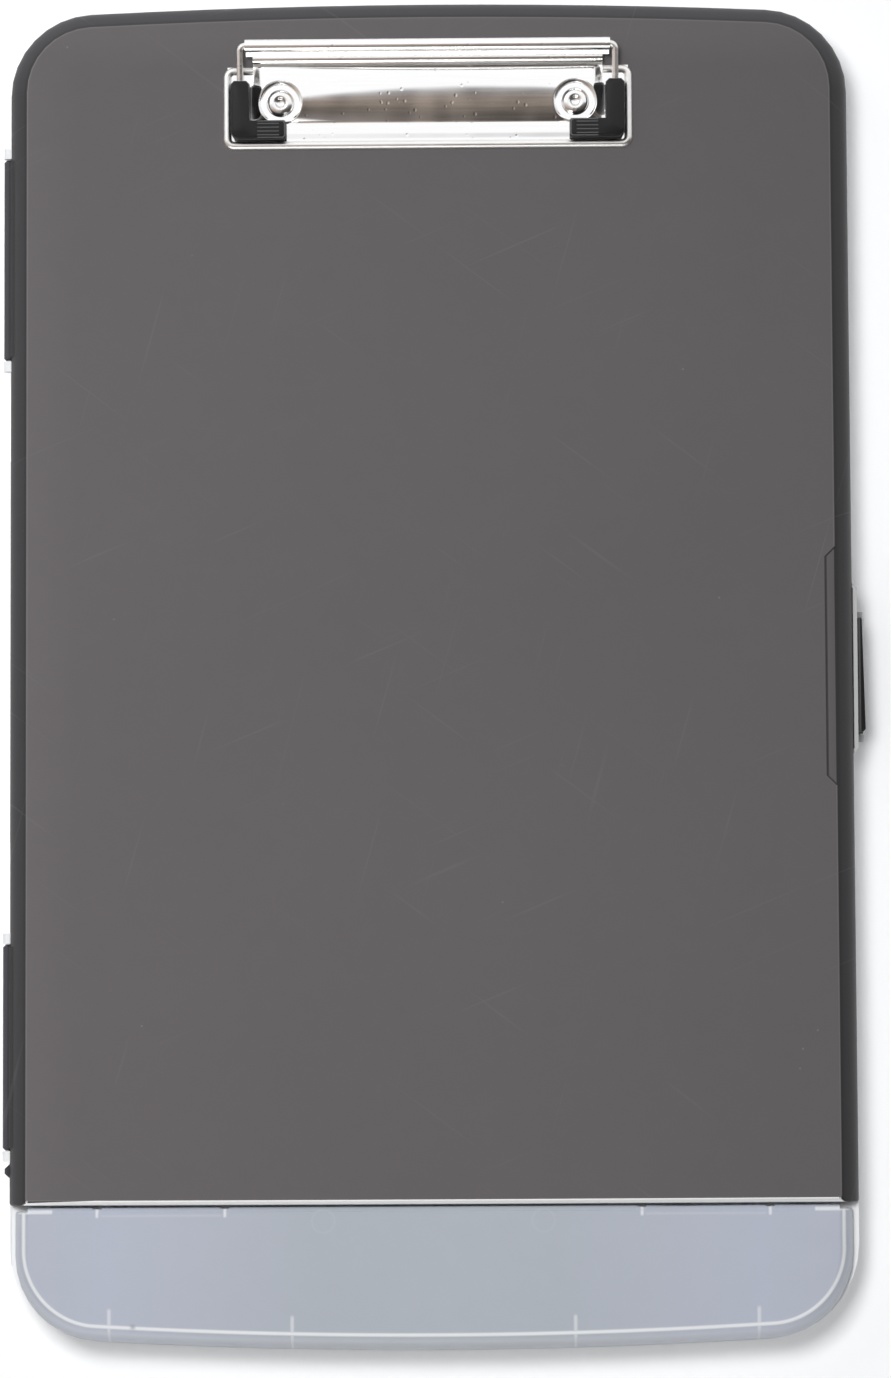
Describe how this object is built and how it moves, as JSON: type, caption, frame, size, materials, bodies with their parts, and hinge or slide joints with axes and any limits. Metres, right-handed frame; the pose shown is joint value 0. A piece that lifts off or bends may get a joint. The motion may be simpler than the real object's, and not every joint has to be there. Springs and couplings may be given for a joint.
{
  "type": "storage clipboard",
  "caption": "Storage clipboard box: translucent tray with a hinged charcoal writing lid, low wire clip, side latch and pen compartment cover.",
  "frame": {"origin": "middle of the underside, where the box rests on a table", "axes": "+X across the box towards the latch, +Y up the page towards the clip, +Z out of the writing board"},
  "size_m": [0.2539, 0.3976, 0.0336],
  "materials": {
    "frosted_plastic": "translucent frosted polypropylene",
    "charcoal_plastic": "finely grained moulded charcoal plastic",
    "pin_steel": "drawn steel",
    "black_plastic": "satin black moulded plastic",
    "bright_chrome": "bright chrome plate",
    "spring_wire": "nickel-plated spring wire",
    "soft_black": "soft black vinyl",
    "rivet_steel": "nickel-plated steel"
  },
  "bodies": {
    "tray": {"base_tray": "frosted_plastic", "hinge_pin_upper": "pin_steel", "hinge_pin_lower": "pin_steel", "latch_pin": "pin_steel"},
    "lid": {"lid": "charcoal_plastic", "clip_plate": "bright_chrome", "rivets": "rivet_steel", "rivet_washers": "rivet_steel"},
    "cover": {"pen_cover": "frosted_plastic"},
    "latch": {"latch": "black_plastic"},
    "lever": {"clip_lever": "bright_chrome", "clip_wire": "spring_wire", "boot_left": "soft_black", "boot_right": "soft_black"}
  },
  "joints": [
    {"name": "lid_hinge", "type": "hinge", "parent": "tray", "child": "lid", "pos_m": [-0.12425, 0, 0.0175], "axis": [0, -1, 0], "range_deg": [0, 175]},
    {"name": "pen_cover_hinge", "type": "hinge", "parent": "tray", "child": "cover", "pos_m": [0, -0.15885, 0.0234], "axis": [-1, 0, 0], "range_deg": [0, 90]},
    {"name": "latch_hinge", "type": "hinge", "parent": "tray", "child": "latch", "pos_m": [0.12676, 0, 0.0052], "axis": [0, 1, 0], "range_deg": [0, 80]},
    {"name": "clip_lift", "type": "hinge", "parent": "lid", "child": "lever", "pos_m": [0, 0.18065, 0.0282], "axis": [-1, 0, 0], "range_deg": [0, 40], "stiffness_Nm_per_rad": 0.3, "springref_deg": -28.65}
  ]
}
